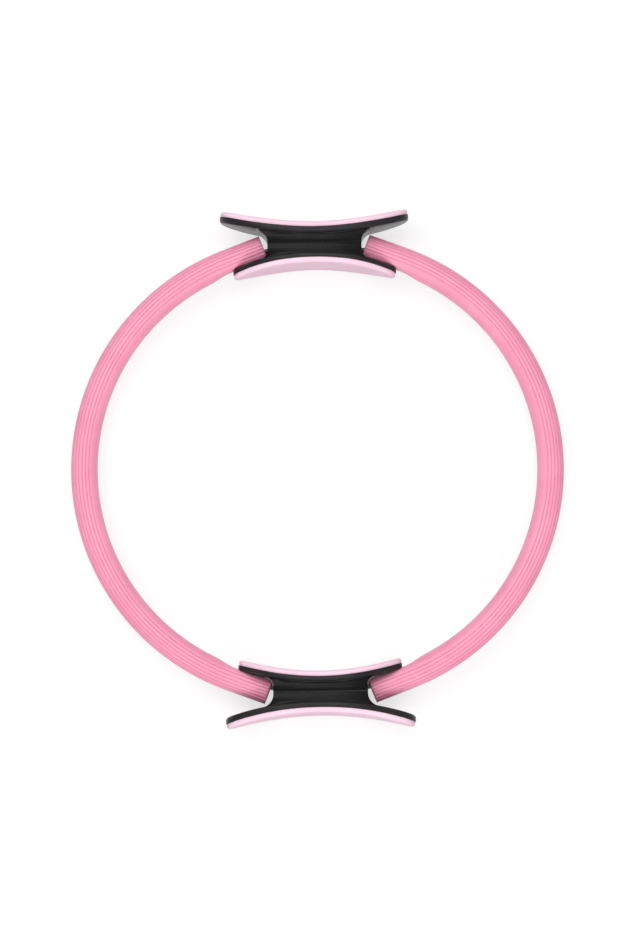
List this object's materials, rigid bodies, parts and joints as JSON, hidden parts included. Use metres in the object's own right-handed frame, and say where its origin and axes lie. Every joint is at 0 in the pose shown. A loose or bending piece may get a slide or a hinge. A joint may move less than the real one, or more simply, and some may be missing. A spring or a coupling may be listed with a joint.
{
  "type": "pilates ring",
  "caption": "Flexible exercise ring: sprung bands in ribbed soft sleeves, joined by opposed padded handles that are squeezed together or pulled apart.",
  "frame": {"origin": "centre of the ring, on the surface that it lies on, below the middle of its bounding box", "axes": "+Z along the ring's axis, up as the ring lies flat; +Y towards the rear handle, which is the upper one in the picture; +X to the right"},
  "size_m": [0.38, 0.3998, 0.052],
  "materials": {
    "black_plastic": "satin moulded plastic",
    "pale_pink_foam": "matte closed-cell foam with a fine skin",
    "pink_foam": "matte ribbed foam",
    "black_glass_fibre": "glass fibre in smooth black resin",
    "screw_steel": "plain zinc-plated steel"
  },
  "bodies": {
    "front_handle": {"front_outer_shell": "black_plastic", "front_inner_shell": "black_plastic", "front_outer_pad": "pale_pink_foam", "front_inner_pad": "pale_pink_foam", "front_clamp_screw": "screw_steel", "left_sleeve": "pink_foam", "right_sleeve": "pink_foam", "left_spring_band": "black_glass_fibre", "right_spring_band": "black_glass_fibre"},
    "rear_handle": {"rear_outer_shell": "black_plastic", "rear_inner_shell": "black_plastic", "rear_outer_pad": "pale_pink_foam", "rear_inner_pad": "pale_pink_foam", "rear_clamp_screw": "screw_steel"}
  },
  "joints": [
    {"name": "squeeze", "type": "slide", "parent": "front_handle", "child": "rear_handle", "axis": [0, -1, 0], "range_m": [-0.02, 0.06], "stiffness_N_per_m": 1000, "deforming": ["left_sleeve", "right_sleeve", "left_spring_band", "right_spring_band"]}
  ]
}
